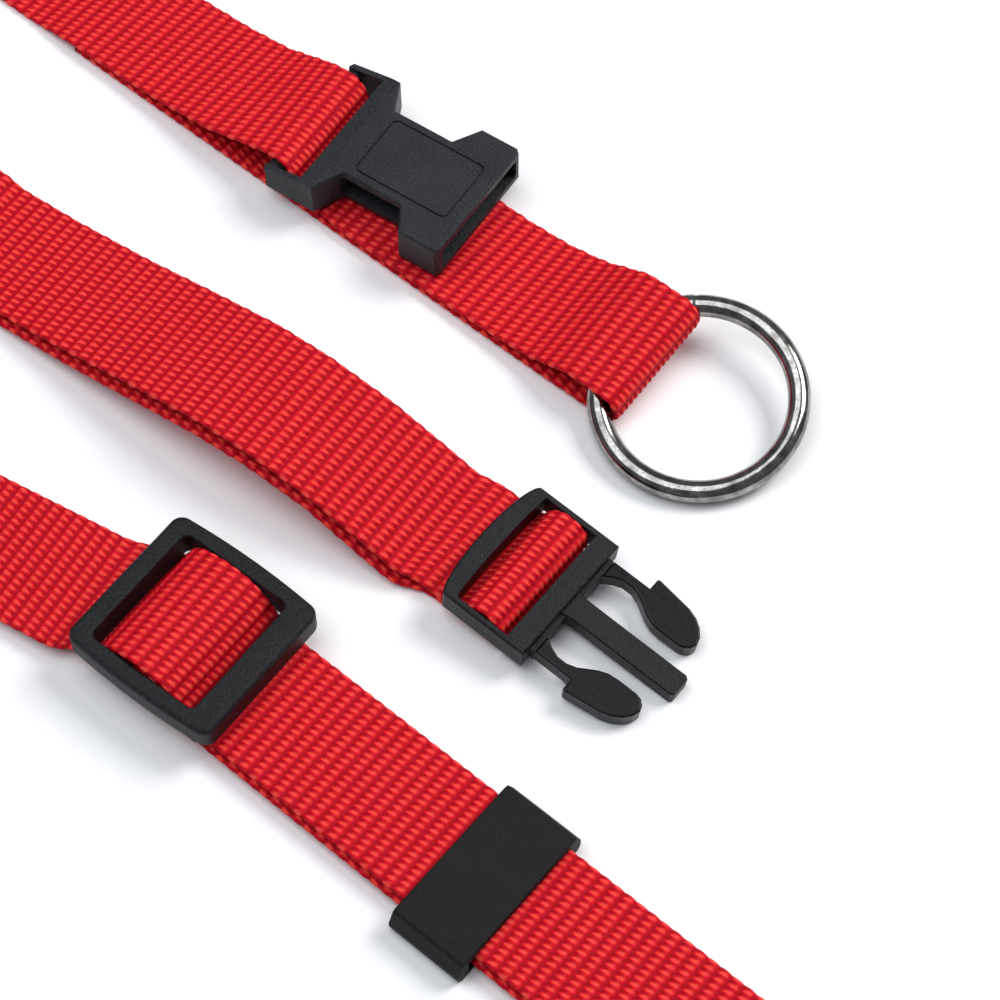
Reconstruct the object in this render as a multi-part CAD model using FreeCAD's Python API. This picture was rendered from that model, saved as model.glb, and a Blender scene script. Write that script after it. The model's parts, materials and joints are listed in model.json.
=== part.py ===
"""Adjustable 25 mm webbing lanyard: red woven strap, steel ring end, side-release buckle,
three-bar slider and keeper sleeve, laid out flat in three runs. Millimetres, +Z up."""
import FreeCAD, Part
import math
import os

Vector = FreeCAD.Vector

# ---- webbing -----------------------------------------------------------------
WEB_WIDTH = 24.4
WEB_THICK = 1.45
LAYER = 1.55                      # rise from one laid layer of webbing to the next
HALF_THICK = WEB_THICK / 2
SLOT_HALF = 12.7                  # half length of every slot that the webbing threads

# ---- lanes: each run of strap has its own place (x, y) and heading on the table ----
RING_LANE = (0.0, 37.6, 0.0)
FEMALE_PLACE = (-78.4, 38.4, 6.0)
MALE_LANE = (14.5, -11.3, 3.4)
MALE_UNDER_LANE = (14.5, -12.0, 3.4)     # the lower of its two layers lies a little to one side
MALE_PLACE = (14.0, -10.7, 0.8)
LEFT_LANE = (-36.0, -61.2, 9.0)
LOOP_LANE = (-23.0, -58.0, -0.5)
SLIDER_PLACE = (-22.2, -57.2, 1.8)
KEEPER_X, KEEPER_Y = 68.9, -0.9   # keeper centre, along and beside the loop lane

# ---- ring ----------------------------------------------------------------------
RING_MEAN_R = 18.5
RING_WIRE_R = 2.1
RING_PITCH = 3.3                  # degrees, far side down on the table
RING_ROLL = 9.0                   # degrees, far edge of the strap end raised
FOLD_X = 3.4                      # axis of the webbing fold round the ring wire
FOLD_Z = 6.15
FOLD_R = 3.3                      # fold radius at the middle of the webbing
WIRE_SET_BACK = 1.0               # the slanting wire meets the fold this far behind its axis
LIFT_FROM_X = -30.0               # the strap end starts to twist here
LIFT_HINGE_X = -16.0              # the strap end bends up here
JOINT_GAP = 0.08                  # between stretches of strap that bend apart
MALE_GAP = 1.2                    # the same where they also meet at a slight angle

# ---- female buckle, local x from its web bar towards the mouth ----------------------
F_LENGTH = 38.6
F_HEIGHT = 8.4
F_BASE_Z = 3.3
F_MOUTH_HALF = 14.3
F_LUG_HALF = 15.0
F_SLOT_HALF = 13.8
F_WAIST_HALF = 8.8
F_WALL = 1.7
F_BAR_R = 1.75
F_BAR_Z = 7.2                     # height of the web bar's axis above the table
F_SLOT_FROM, F_SLOT_TO = 1.8, 7.0
CROWN_HELD, CROWN_FREE = 8.0, 17.0       # how far along the strap the bar sets its angle

# ---- male buckle, local x from its centre bar towards the tongue -------------------
M_PITCH = 5.6                     # degrees, nose down
M_BAR_Z = 5.5
M_HEIGHT = 5.2
M_FRAME_FROM, M_FRAME_TO = -6.8, 10.8
M_FRAME_HALF = 13.8
M_BAR_X = 0.9
M_BULGE = 2.6
M_WINDOW_FROM, M_WINDOW_TO = -4.8, 6.5
M_WINDOW_BOW = 0.7
M_BAR_R = 1.5
M_ARM_THICK = 3.4
M_TONGUE_TO = 35.4
M_TONGUE_HALF = 2.4
ARM_GAP = 0.12                    # flexing line at the root of each latch arm

# ---- slider, local x along the strap -------------------------------------------------
S_LENGTH = 32.6
S_HALF = 15.5
S_BOW = 0.6                       # how far its long sides bulge
S_CORNER = 2.4
S_HEIGHT = 5.8
S_SKIRT = 1.1                     # its end walls hang this far below the bars
S_BASE_Z = 4.4
S_WINDOW_FROM, S_WINDOW_TO = -12.4, 10.9
S_BAR_HALF, S_BAR_FROM, S_BAR_TO = 1.6, 0.8, 3.5

# ---- keeper ----------------------------------------------------------------------------
K_LENGTH = 15.4
K_TOP_HALF, K_MID_HALF, K_BASE_HALF = 15.0, 16.2, 15.2
K_SLOT_HALF = 13.4
K_EDGE = 0.35                     # rounding of its end rims
K_HEIGHT, K_MID_Z = 5.9, 2.6
K_WALL = 1.1
K_INNER_TO = 4.45

# ---- stitches, rows across the strap -----------------------------------------------------
STITCHES = 7
STITCH_FROM = -6.6                # first stitch of each row, across the ring lane
STITCH_PITCH = 2.2
STITCH_LENGTH = 1.7
STITCH_RISE = 0.18

# ---- hidden turns of the strap, folded flat at 45 degrees ------------------------------------
TURN_A_X = -172.0                 # fold lines' centres, between the ring and male lanes
TURN_B_X = -136.0                 # and between the male and loop lanes
LOOP_END_X = 134.0                # closed end of the loop, along the loop lane
LOOP_Z = 1.2                      # the doubled strap rides this high on the keeper's floor


# ---- where one stretch of strap ends and the next begins -------------------------------------
TAIL_X = -131.0                   # the strap's cut end, in the ring lane
MALE_HINGE_X = -17.0              # the strap end bends up here, in the male lane
LEFT_END_X = -0.6                 # under the slider's outer bar, in the left lane
LOWER_FROM_X = -11.0              # and on under the slider, in the loop lane
UPPER_FROM_X = 13.2               # the upper layer runs between these, in the loop lane
UPPER_TO_X = 118.0


# ==== helpers ================================================================================
def place(shape, lane):
    """Put a shape made in lane coordinates on the table."""
    x, y, heading = lane
    moved = shape.copy()
    moved.rotate(Vector(0, 0, 0), Vector(0, 0, 1), heading)
    moved.translate(Vector(x, y, 0))
    return moved


def arc_points(cx, cz, r, start, end, steps):
    """(x, z) points along an arc, angles in degrees."""
    angles = [math.radians(start + (end - start) * i / steps) for i in range(steps + 1)]
    return [(cx + r * math.cos(a), cz + r * math.sin(a)) for a in angles]


def offset_side(path, distance):
    """The path moved sideways by a distance, with mitred corners."""
    side = []
    for i, (x, z) in enumerate(path):
        before = path[max(i - 1, 0)]
        after = path[min(i + 1, len(path) - 1)]
        d1 = unit(x - before[0], z - before[1]) if i else unit(after[0] - x, after[1] - z)
        d2 = unit(after[0] - x, after[1] - z) if i < len(path) - 1 else d1
        nx, nz = -(d1[1] + d2[1]), d1[0] + d2[0]
        reach = 2 * distance / (nx * nx + nz * nz)
        side.append((x + nx * reach, z + nz * reach))
    return side


def unit(dx, dz):
    length = math.hypot(dx, dz)
    return dx / length, dz / length


def no_lift(x):
    return 0.0


def no_lean(x):
    return 0.0


def strip(path, lift=no_lift, lean=no_lean, half_width=WEB_WIDTH / 2):
    """Webbing along a path seen from the side. Per mm across the strap, lift(x) is how far it
    rises and lean(x) how far it runs ahead along the lane."""
    outline = offset_side(path, HALF_THICK) + offset_side(path, -HALF_THICK)[::-1]
    if lift is no_lift:
        ends = [Vector(x, -half_width, z) for x, z in outline]
        face = Part.Face(Part.makePolygon(ends + ends[:1]))
        return face.extrude(Vector(0, 2 * half_width, 0))
    wires = []
    for y in (-half_width, half_width):
        ring = [Vector(x + lean(x) * y, y, z + lift(x) * y) for x, z in outline]
        wires.append(Part.makePolygon(ring + ring[:1]))
    return Part.makeLoft(wires, True, True)


def slab(outline, z0, z1):
    """A flat outline of (x, y) points, as a plate from z0 to z1."""
    points = [Vector(x, y, z0) for x, y in outline]
    face = Part.Face(Part.makePolygon(points + points[:1]))
    return face.extrude(Vector(0, 0, z1 - z0))


def block(x0, x1, y0, y1, z0, z1):
    return Part.makeBox(x1 - x0, y1 - y0, z1 - z0, Vector(x0, y0, z0))


def rounded_block(x0, x1, y_half, z0, z1, radius):
    """A block with its four upright edges rounded."""
    body = block(x0, x1, -y_half, y_half, z0, z1)
    return body.makeFillet(radius, upright_edges(body))


def upright_edges(shape):
    return [e for e in shape.Edges if is_upright(e)]


def is_upright(edge):
    a, b = edge.Vertexes[0].Point, edge.Vertexes[-1].Point
    return (a - b).Length > 0.5 and abs(a.x - b.x) < 1e-6 and abs(a.y - b.y) < 1e-6


def level_edges(shape, z):
    """The edges that lie flat at one height."""
    found = []
    for edge in shape.Edges:
        box = edge.BoundBox
        if abs(box.ZMin - z) < 1e-5 and abs(box.ZMax - z) < 1e-5:
            found.append(edge)
    return found


def mirrored(outline):
    """An outline given for y > 0, closed with its own mirror image."""
    return outline + [(x, -y) for x, y in reversed(outline)]


def only_solid(shape):
    solids = shape.Solids
    assert len(solids) == 1, "a piece came apart into %d solids" % len(solids)
    return solids[0]


# ==== ring lane: the strap end folded round the ring, threaded on the female buckle ====
def ring_lift(x):
    """How far the strap end is tipped sideways, growing towards the ring."""
    share = min(max((x - LIFT_FROM_X) / (FOLD_X - 5.0 - LIFT_FROM_X), 0.0), 1.0)
    return math.tan(math.radians(RING_ROLL)) * share * share * (3 - 2 * share)


def ring_end_path():
    """Lower layer, fold round the ring wire, and upper layer, from the hinge line on."""
    low = FOLD_Z - FOLD_R
    high = FOLD_Z + FOLD_R
    start = LIFT_HINGE_X + JOINT_GAP
    lower = [(start, 1.7), (-14.0, 1.92), (-9.0, 2.4), (-4.6, low)]
    upper = [(-5.0, high - 0.05), (-11.0, 6.7), (-14.0, 5.2), (start, 4.7)]
    return lower + arc_points(FOLD_X, FOLD_Z, FOLD_R, -90, 90, 8) + upper


def webbing_ring_loop():
    return strip(ring_end_path(), ring_lift)


def webbing_tail_layer():
    """The strap's cut end, running back under the upper layer."""
    flat = HALF_THICK
    rise = [(-32.0, flat), (-24.0, 0.98), (-18.0, 1.51), (LIFT_HINGE_X - JOINT_GAP, 1.69)]
    return strip([(TAIL_X, flat)] + rise, ring_lift)


def buckle_crown_path():
    """From the strap under the buckle up through its slot and over its web bar."""
    x = FEMALE_PLACE[0]
    return [(x + 7.8, HALF_THICK + LAYER), (x + 6.0, 2.75), (x + 4.9, 4.3), (x + 4.45, 6.2),
            (x + 3.7, 8.2), (x + 2.2, 9.5), (x, 10.0), (x - 2.4, 9.7), (x - 5.5, 8.7)]


def crown_lean(x):
    """The crown follows the buckle's web bar, which is turned a little across the lane."""
    reach = abs(x - FEMALE_PLACE[0] - 1.0)
    share = min(max((CROWN_FREE - reach) / (CROWN_FREE - CROWN_HELD), 0.0), 1.0)
    return -math.tan(math.radians(FEMALE_PLACE[2])) * share


def webbing_ring_run():
    """Upper layer from the hinge line, through the female buckle, to the first flat fold."""
    upper = HALF_THICK + LAYER
    start = [(LIFT_HINGE_X - JOINT_GAP, 4.67), (-18.0, 4.25), (-24.0, 3.1), (-34.0, upper),
             (-60.0, upper)]
    slope = [(-95.0, 6.2), (-108.0, 3.9), (-120.0, 2.6), (-130.0, upper)]
    tail_step = [(-136.0, 1.7), (-143.0, HALF_THICK), (-150.0, HALF_THICK)]
    run = strip(start + buckle_crown_path() + slope + tail_step, ring_lift, crown_lean)
    return run.fuse(creased_end(-150.0, TURN_A_X, 1)).removeSplitter()


def creased_end(x_from, crease_x, slope):
    """Strap flat on the table from x_from to a crease at 45 degrees, sloping up (1) or down (-1)."""
    half = WEB_WIDTH / 2
    outline = [(x_from, -half), (x_from, half), (crease_x + slope * half, half),
               (crease_x - slope * half, -half)]
    return slab(outline, 0, WEB_THICK)


def crease_roll(x, y, slope):
    """The rolled edge of a flat fold, across the strap at 45 degrees, joining two layers."""
    length = WEB_WIDTH * math.sqrt(2)
    radius = LAYER / 2 + HALF_THICK
    roll = Part.makeCylinder(radius, length, Vector(-length / 2, 0, radius), Vector(1, 0, 0))
    inner_side = block(-length, length, -2 * radius, 0, -1, 2 * radius + 1)
    if slope < 0:
        inner_side.translate(Vector(0, 2 * radius, 0))
    roll = roll.cut(inner_side)
    roll.rotate(Vector(0, 0, 0), Vector(0, 0, 1), 45 * slope)
    roll.translate(Vector(x, y, 0))
    return roll


# ==== female buckle ==========================================================================
def female_outline():
    return mirrored([(-1.3, 14.2), (-0.8, F_LUG_HALF), (10.2, F_LUG_HALF), (13.2, F_WAIST_HALF),
                     (26.4, F_WAIST_HALF), (29.7, F_MOUTH_HALF), (F_LENGTH - 0.8, F_MOUTH_HALF),
                     (F_LENGTH, F_MOUTH_HALF - 0.8)])


def female_buckle():
    top = F_HEIGHT
    body = slab(female_outline(), 0, top)
    body = body.makeFillet(0.55, level_edges(body, top) + level_edges(body, 0))
    body = body.cut(block(F_SLOT_FROM - 6, F_SLOT_TO, -F_SLOT_HALF, F_SLOT_HALF, -1, top + 1))
    ramp = [Vector(-4, -20, 5.6), Vector(10.5, -20, top + 0.02), Vector(10.5, -20, 20),
            Vector(-4, -20, 20)]
    body = body.cut(Part.Face(Part.makePolygon(ramp + ramp[:1])).extrude(Vector(0, 40, 0)))
    heel = [Vector(F_SLOT_TO - 1, -F_SLOT_HALF, -1), Vector(F_SLOT_TO + 1.6, -F_SLOT_HALF, -1),
            Vector(F_SLOT_TO - 1, -F_SLOT_HALF, 2.4)]
    body = body.cut(Part.Face(Part.makePolygon(heel + heel[:1])).extrude(Vector(0, 2 * F_SLOT_HALF, 0)))
    body = body.cut(rounded_socket(top))
    body = body.fuse(web_bar())
    for side in (-1, 1):
        body = body.fuse(block(20.0, 35.0, side * 3.4 - 0.5, side * 3.4 + 0.5, F_WALL - 0.1, 3.2))
    body = body.cut(panel_groove(top))
    body.translate(Vector(0, 0, F_BASE_Z))
    return only_solid(body)


def rounded_socket(top):
    """The hollow that the male half enters, open at the mouth and at both waist sides."""
    inner = F_MOUTH_HALF - F_WALL
    hollow = block(12.9, F_LENGTH + 5, -inner, inner, F_WALL, top - F_WALL)
    rims = [e for e in hollow.Edges if e.BoundBox.XLength > 10]
    hollow = hollow.makeFillet(0.9, rims)
    return hollow


def web_bar():
    half = F_SLOT_HALF + 0.4
    bar = Part.makeCylinder(F_BAR_R, 2 * half, Vector(0, -half, 0), Vector(0, 1, 0))
    bar.translate(Vector(0, 0, F_BAR_Z - F_BASE_Z))
    return bar


def panel_groove(top):
    """Thin engraved frame line round the plain top panel."""
    line, depth = 0.4, 0.35
    outer = rounded_block(14.4, 35.6, 7.2, top - depth, top + 1, 1.4)
    inner = rounded_block(14.4 + line, 35.6 - line, 7.2 - line, top - depth - 1, top + 2, 1.1)
    return outer.cut(inner)


# ==== ring ===================================================================================
def ring():
    hoop = Part.makeTorus(RING_MEAN_R, RING_WIRE_R, Vector(0, 0, 0), ring_normal())
    hoop.translate(Vector(*ring_centre()))
    return hoop


def ring_normal():
    pitch, roll = math.radians(RING_PITCH), math.radians(RING_ROLL)
    return Vector(math.sin(pitch), -math.sin(roll) * math.cos(pitch), math.cos(roll) * math.cos(pitch))


def ring_centre():
    """The wire crosses the fold's axis at both edges of the strap."""
    reach = math.sqrt(RING_MEAN_R ** 2 - (WEB_WIDTH / 2) ** 2)
    drop = reach * math.sin(math.radians(RING_PITCH))
    return FOLD_X - WIRE_SET_BACK + reach, 0.0, FOLD_Z - drop


# ==== male lane ==============================================================================
def male_frame_outline():
    """Frame seen from above, its outer web bar bowed outwards."""
    bow = [(M_FRAME_FROM - M_BULGE * math.cos(math.radians(a)),
            M_FRAME_HALF * math.sin(math.radians(a))) for a in range(80, -1, -10)]
    return mirrored([(M_FRAME_TO, M_FRAME_HALF), (M_FRAME_FROM, M_FRAME_HALF)] + bow[:-1]
                    + [(M_FRAME_FROM - M_BULGE, 0.5)])


def male_window_outline():
    bow = [(M_WINDOW_FROM - M_WINDOW_BOW * math.cos(math.radians(a)),
            SLOT_HALF * math.sin(math.radians(a))) for a in range(80, -1, -16)]
    return mirrored([(M_WINDOW_TO, SLOT_HALF), (M_WINDOW_FROM, SLOT_HALF)] + bow)


def male_body():
    half = M_HEIGHT / 2
    frame = slab(male_frame_outline(), -half, half)
    frame = frame.makeFillet(0.5, level_edges(frame, half))
    frame = frame.cut(slab(male_window_outline(), -half - 1, half + 1))
    half_bar = SLOT_HALF + 0.3
    bar = Part.makeCylinder(M_BAR_R, 2 * half_bar, Vector(M_BAR_X, -half_bar, 0), Vector(0, 1, 0))
    step = block(M_FRAME_TO - 1.5, M_FRAME_TO + 0.9, -11.4, 11.4, -half, half - 1.6)
    return only_solid(frame.fuse(bar).fuse(step).fuse(tongue()).removeSplitter())


def tongue():
    """Middle guide blade, with a chamfered nose."""
    thick = M_ARM_THICK / 2
    blade = slab(mirrored([(M_FRAME_TO - 1, M_TONGUE_HALF + 0.5), (M_FRAME_TO + 2.4, M_TONGUE_HALF),
                           (M_TONGUE_TO - 0.6, M_TONGUE_HALF), (M_TONGUE_TO, M_TONGUE_HALF - 0.5)]),
                 -thick - 0.3, thick - 0.3)
    return blade.makeFillet(0.35, level_edges(blade, thick - 0.3))


def arm_outline():
    """One latch arm: straight spring stem, hook shoulder, and a broad rounded paddle."""
    root_x = M_FRAME_TO + 0.9 + ARM_GAP
    stem = [(root_x, 7.6), (root_x, 11.4), (19.8, 11.4), (19.8, 13.6), (20.2, 13.9)]
    outer = [(27.6, 12.9), (29.6, 12.2), (31.2, 11.1), (32.3, 9.7), (32.7, 8.2)]
    tip = [(32.3, 7.1), (31.4, 6.3), (30.2, 6.0)]
    inner = [(26.2, 6.0), (24.2, 6.2), (22.4, 6.9), (20.8, 7.9), (19.2, 8.9), (17.4, 9.5), (15.4, 9.5),
             (13.6, 8.8)]
    return stem + outer + tip + inner


def latch_arm(side):
    thick = M_ARM_THICK / 2
    arm = slab([(x, side * y) for x, y in arm_outline()], -thick - 0.3, thick - 0.3)
    arm = arm.makeFillet(0.4, level_edges(arm, thick - 0.3))
    return only_solid(arm)


def place_male(shape):
    """Tip the male half nose down about its centre bar and set it in its lane."""
    tipped = shape.copy()
    tipped.rotate(Vector(0, 0, 0), Vector(0, 1, 0), M_PITCH)
    tipped.translate(Vector(0, 0, M_BAR_Z))
    return place(tipped, MALE_PLACE)


def male_wrap_path():
    """Upper layer in under the frame, over the centre bar, and back as the lower layer."""
    x = M_BAR_X
    start = MALE_HINGE_X + MALE_GAP
    into = [(start, 3.2), (-14.0, 2.75), (-11.0, 2.35), (-7.0, 2.3), (x - 5.8, 2.6), (x - 4.8, 3.6),
            (x - 4.3, 5.2), (x - 3.5, 6.7)]
    over = [(x - 1.9, 7.95), (x, 8.4), (x + 2.1, 7.9), (x + 3.7, 6.6), (x + 4.25, 4.9)]
    back = [(x + 4.0, 3.2), (x + 3.0, 1.8), (x + 1.1, 0.9), (-3.0, HALF_THICK), (-12.0, HALF_THICK),
            (-14.0, 0.8), (start, 0.95)]
    return into + over + back


def webbing_male_loop():
    return strip(male_wrap_path())


def arch_path(layer):
    """The free arch that both layers make behind the male half; layer 0 is the lower one."""
    start = MALE_HINGE_X - JOINT_GAP
    upper = [(start, 3.47), (-19.0, 4.0), (-25.0, 6.3)]
    lower = [(start, 1.08), (-19.0, 1.3), (-26.0, 3.6)]
    spread = upper if layer else lower
    crest = [(-38.0, 10.4), (-52.0, 12.4), (-64.0, 12.2), (-80.0, 9.2), (-96.0, 5.8), (-114.0, 3.2),
             (-128.0, HALF_THICK + LAYER)]
    gap = [2.1, 2.6, 3.2, 3.2, 2.6, 2.0, LAYER]
    if layer:
        return spread + crest
    return spread + [(x, z - g) for (x, z), g in zip(crest, gap)]


def webbing_male_lower():
    """Lower layer of the male run, as far as its flat fold."""
    turn = lane_x(TURN_B_X)
    run = strip(arch_path(0) + [(-134.0, HALF_THICK)])
    return run.fuse(creased_end(-134.0, turn, 1)).removeSplitter()


def webbing_male_upper():
    """Upper layer of the male run: over the second fold, then down to the first one."""
    high = HALF_THICK + 2 * LAYER + 0.05
    turn = lane_x(TURN_A_X)
    climb = [(-132.0, high), (lane_x(TURN_B_X) - 16.0, high), (turn + 18.0, HALF_THICK),
             (turn + 14.0, HALF_THICK)]
    run = strip(arch_path(1) + climb)
    return run.fuse(creased_end(turn + 14.0, turn, -1)).removeSplitter()


def lane_x(x):
    """A place along the table, as a distance along the male lane."""
    return x - MALE_LANE[0]


def cross_leg(x, lane_from, lane_to):
    """Strap lying across the table between two lanes, one layer up, with 45 degree creases."""
    half = WEB_WIDTH / 2
    y_from = lane_from[1] + (x - lane_from[0]) * math.tan(math.radians(lane_from[2]))
    y_to = lane_to[1] + (x - lane_to[0]) * math.tan(math.radians(lane_to[2]))
    outline = [(x - half, y_from - half), (x + half, y_from + half), (x + half, y_to - half),
               (x - half, y_to + half)]
    leg = slab(outline, LAYER, LAYER + WEB_THICK)
    leg = leg.fuse(crease_roll(x, y_from, 1)).fuse(crease_roll(x, y_to, -1))
    return only_solid(leg.removeSplitter())


# ==== loop lane ==============================================================================
def webbing_loop_left():
    """From the last flat fold up to the underside of the slider."""
    turn = TURN_B_X - LEFT_LANE[0]
    rise = [(turn + 15.0, HALF_THICK), (-46.0, HALF_THICK), (-34.0, 1.15), (-18.0, 2.4), (-7.0, 3.15),
            (LEFT_END_X, 3.3)]
    return strip(rise).fuse(creased_end(turn + 15.0, turn, -1)).removeSplitter()


def webbing_loop_lower():
    """Under the slider and keeper, then round the loop's closed end."""
    low = LOOP_Z + HALF_THICK
    under_slider = [(LOWER_FROM_X, 2.9), (-9.5, 2.6), (-6.0, low)]
    bulb = 1.7
    end = [(LOOP_END_X - 8.0, low), (LOOP_END_X - 3.0, low)]
    turn_back = arc_points(LOOP_END_X - bulb - HALF_THICK, low + bulb, bulb, -90, 90, 8)
    back = [(LOOP_END_X - 8.0, low + 2 * bulb - 0.3), (UPPER_TO_X + 4.0, low + LAYER),
            (UPPER_TO_X, low + LAYER)]
    return strip(under_slider + end + turn_back + back)


def webbing_loop_upper():
    """Upper layer between the slider and the loop's end; it shortens as the slider moves."""
    z = LOOP_Z + HALF_THICK + LAYER
    return strip([(UPPER_FROM_X, z), (UPPER_TO_X, z)])


def slider_hump_path():
    """Main strap up through the slider, over its middle bar and down again."""
    upper = LOOP_Z + HALF_THICK + LAYER
    return [(-10.9, 4.5), (-10.5, 6.6), (-8.9, 8.8), (-6.0, 10.2), (-2.5, 10.9), (1.0, 10.7),
            (4.4, 9.4), (6.8, 7.2), (8.2, 4.9), (9.2, 3.8), (10.1, upper + 0.05), (UPPER_FROM_X - 1.9, upper + 0.05)]


def inner_loop_path():
    """The strap's own end, sewn in a small loop round the middle bar."""
    bottom, top, reach = 4.2, 9.0, 2.7
    mid = (bottom + top) / 2
    over = [(4.3, 5.4), (4.0, 7.4), (2.6, 8.7), (0.0, top), (-2.2, 8.5)]
    under = [(-reach - 0.2, mid), (-reach, 5.0), (-1.2, bottom), (2.4, bottom)]
    return over + under


def webbing_slider_wrap():
    hump = strip(slider_hump_path())
    loop = strip(inner_loop_path())
    return Part.makeCompound([hump, loop])


def slider():
    half = S_LENGTH / 2
    frame = slider_plan(half)
    frame = frame.makeFillet(1.1, level_edges(frame, S_HEIGHT) + level_edges(frame, 0))
    window = rounded_block(S_WINDOW_FROM, S_WINDOW_TO, SLOT_HALF, -1, S_HEIGHT + 1, 1.2)
    frame = frame.cut(window)
    rim = level_edges(frame, S_HEIGHT)
    inner = [e for e in rim if e.BoundBox.DiagonalLength > 0 and inside_window(e)]
    frame = frame.makeFillet(0.5, inner)
    bar = block(-S_BAR_HALF, S_BAR_HALF, -SLOT_HALF - 0.5, SLOT_HALF + 0.5, S_BAR_FROM, S_BAR_TO)
    bar = bar.makeFillet(0.9, [e for e in bar.Edges if e.BoundBox.YLength > 10])
    body = frame.fuse(bar)
    for side, x_from in ((1, -13.0), (-1, -7.5)):
        body = body.fuse(slider_skirt(side, x_from))
    body.translate(Vector(0, 0, S_BASE_Z))
    return only_solid(body)


def slider_skirt(side, x_from):
    """One end wall's lower rim, beside the strap; the near one stops short of the strap's rise."""
    y0, y1 = sorted((side * (SLOT_HALF + 1.2), side * (S_HALF - 0.2)))
    skirt = block(x_from, 13.0, y0, y1, -S_SKIRT, 1.5)
    return skirt.makeFillet(0.6, [e for e in skirt.Edges if e.BoundBox.ZMax < 0])


def slider_plan(half):
    """The slider's outer outline: rounded corners and gently bowed long sides."""
    corner = S_CORNER
    side = Part.Arc(Vector(-half + corner, S_HALF, 0), Vector(0, S_HALF + S_BOW, 0),
                    Vector(half - corner, S_HALF, 0)).toShape()
    far_corner = Part.Arc(Vector(half - corner, S_HALF, 0),
                          Vector(half - 0.3 * corner, S_HALF - 0.3 * corner, 0),
                          Vector(half, S_HALF - corner, 0)).toShape()
    near_corner = far_corner.mirror(Vector(0, 0, 0), Vector(1, 0, 0))
    top = [near_corner, side, far_corner]
    bottom = [edge.mirror(Vector(0, 0, 0), Vector(0, 1, 0)) for edge in top]
    ends = [Part.makeLine(Vector(x, S_HALF - corner, 0), Vector(x, corner - S_HALF, 0))
            for x in (-half, half)]
    outline = Part.Wire(Part.__sortEdges__(top + bottom + ends))
    return Part.Face(outline).extrude(Vector(0, 0, S_HEIGHT))


def inside_window(edge):
    box = edge.BoundBox
    return (box.XMin >= S_WINDOW_FROM - 0.01 and box.XMax <= S_WINDOW_TO + 0.01
            and box.YMax <= SLOT_HALF + 0.01 and box.YMin >= -SLOT_HALF - 0.01)


def keeper():
    """Short moulded sleeve with flared sides."""
    outer = mirror_section([(K_BASE_HALF, 0.0), (K_MID_HALF, K_MID_Z - 1.0), (K_MID_HALF, K_MID_Z),
                            (K_TOP_HALF, K_HEIGHT - 0.35), (K_TOP_HALF - 0.6, K_HEIGHT)])
    shell = across_section(outer, K_LENGTH)
    rims = [e for e in shell.Edges if e.BoundBox.XLength < 1e-6 and e.BoundBox.ZMin > 0.1]
    shell = shell.makeFillet(K_EDGE, rims)
    slot = mirror_section([(K_SLOT_HALF, K_WALL), (K_SLOT_HALF, K_INNER_TO)])
    return only_solid(shell.cut(across_section(slot, K_LENGTH + 2)))


def mirror_section(side):
    return side + [(-y, z) for y, z in reversed(side)]


def across_section(section, length):
    """A (y, z) section drawn out along x."""
    points = [Vector(-length / 2, y, z) for y, z in section]
    return Part.Face(Part.makePolygon(points + points[:1])).extrude(Vector(length, 0, 0))


# ==== stitching ==============================================================================
def ring_end_stitches():
    """Rows of thread that close the strap end, under the buckle's body."""
    top = LAYER + WEB_THICK
    rows = []
    for x in (-69.4, -67.6, -65.8):
        for i in range(STITCHES):
            y = STITCH_FROM + STITCH_PITCH * i
            rows.append(block(x - 0.3, x + 0.3, y, y + STITCH_LENGTH, top, top + STITCH_RISE))
    return Part.makeCompound(rows)


def layout():
    """Every piece in its place, before the whole is centred on its own base."""
    x, y, heading = LOOP_LANE
    at_keeper = (x + KEEPER_X * math.cos(math.radians(heading)),
                 y + KEEPER_Y + KEEPER_X * math.sin(math.radians(heading)), heading)
    return {
        "webbing_tail_layer": place(webbing_tail_layer(), RING_LANE),
        "webbing_ring_run": place(webbing_ring_run(), RING_LANE),
        "webbing_ring_loop": place(webbing_ring_loop(), RING_LANE),
        "webbing_cross_ring_male": cross_leg(TURN_A_X, RING_LANE, MALE_LANE),
        "webbing_male_upper": place(webbing_male_upper(), MALE_LANE),
        "webbing_male_loop": place(webbing_male_loop(), MALE_PLACE),
        "webbing_male_lower": place(webbing_male_lower(), MALE_UNDER_LANE),
        "webbing_cross_male_loop": cross_leg(TURN_B_X, MALE_LANE, LEFT_LANE),
        "webbing_loop_left": place(webbing_loop_left(), LEFT_LANE),
        "webbing_loop_lower": place(webbing_loop_lower(), LOOP_LANE),
        "webbing_loop_upper": place(webbing_loop_upper(), LOOP_LANE),
        "webbing_slider_wrap": place(webbing_slider_wrap(), SLIDER_PLACE),
        "ring_end_stitches": place(ring_end_stitches(), RING_LANE),
        "ring": place(ring(), RING_LANE),
        "female_buckle": place(female_buckle(), FEMALE_PLACE),
        "male_body": place_male(male_body()),
        "latch_arm_left": place_male(latch_arm(1)),
        "latch_arm_right": place_male(latch_arm(-1)),
        "slider": place(slider(), SLIDER_PLACE),
        "keeper": place(keeper(), at_keeper),
    }


def base_centre(nodes):
    """The middle of the underside of the box round all the pieces."""
    box = Part.makeCompound(list(nodes.values())).BoundBox
    return Vector((box.XMin + box.XMax) / 2, (box.YMin + box.YMax) / 2, box.ZMin)


def main():
    os.makedirs("parts", exist_ok=True)
    nodes = layout()
    centre = base_centre(nodes)
    for name, shape in nodes.items():
        shape.translate(-centre)
        shape.exportStep("parts/%s.step" % name)
        print("%-26s valid %s  solids %d" % (name, shape.isValid(), len(shape.Solids)))
    print("base centre in lane coordinates: %.3f %.3f %.3f" % (centre.x, centre.y, centre.z))


main()
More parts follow.
